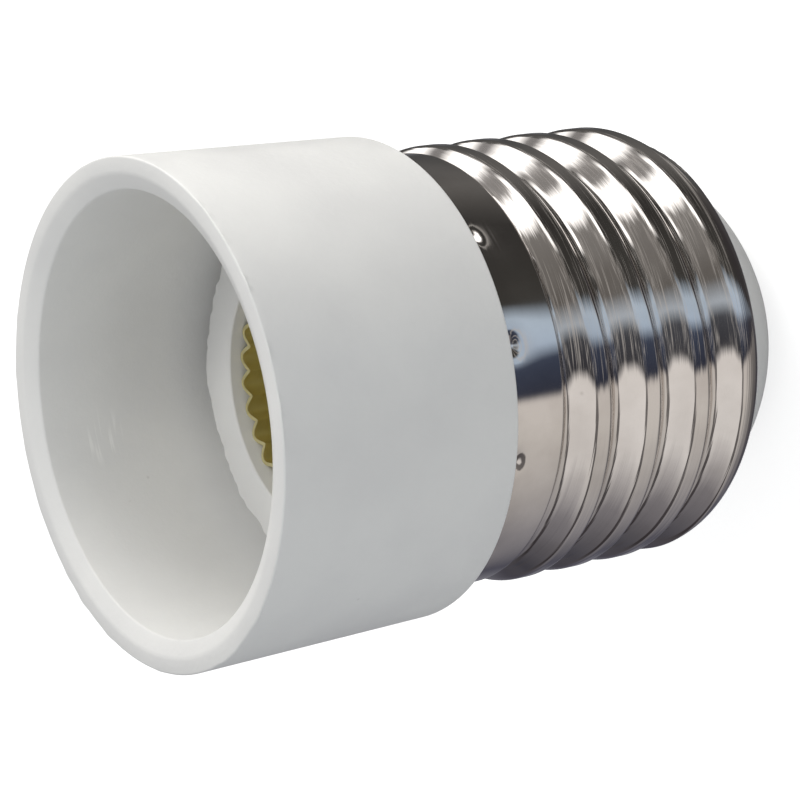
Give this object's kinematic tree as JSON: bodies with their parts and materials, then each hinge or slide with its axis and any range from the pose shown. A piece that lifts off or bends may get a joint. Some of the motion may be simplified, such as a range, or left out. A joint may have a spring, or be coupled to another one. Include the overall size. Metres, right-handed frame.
{
  "type": "lamp socket adapter",
  "caption": "Lamp socket adapter: nickel-plated E27 screw cap with a white moulded skirt that shrouds a brass E14 socket for a smaller lamp.",
  "frame": {"origin": "centre of the E27 centre contact's outer face, on the adapter's axis", "axes": "+Z along the adapter's axis from the centre contact to the socket's mouth, +X towards the tab that joins the two shells"},
  "size_m": [0.0288, 0.0288, 0.0403],
  "materials": {
    "white_moulding": "satin moulded white",
    "nickel_plate": "bright nickel plate",
    "socket_brass": "bright rolled brass",
    "leaf_brass": "spring brass",
    "rivet_nickel": "bright nickel plate"
  },
  "bodies": {
    "adapter": {"skirt_body": "white_moulding", "e27_shell": "nickel_plate", "e14_shell": "socket_brass", "centre_rivet": "rivet_nickel"},
    "lamp_contact": {"contact_leaf": "leaf_brass"}
  },
  "joints": [
    {"name": "lamp_contact_flex", "type": "hinge", "parent": "adapter", "child": "lamp_contact", "pos_m": [-0.0044, 0, 0.005], "axis": [0, 1, 0], "range_deg": [0, 8], "stiffness_Nm_per_rad": 0.2, "deforming": ["contact_leaf"]}
  ]
}
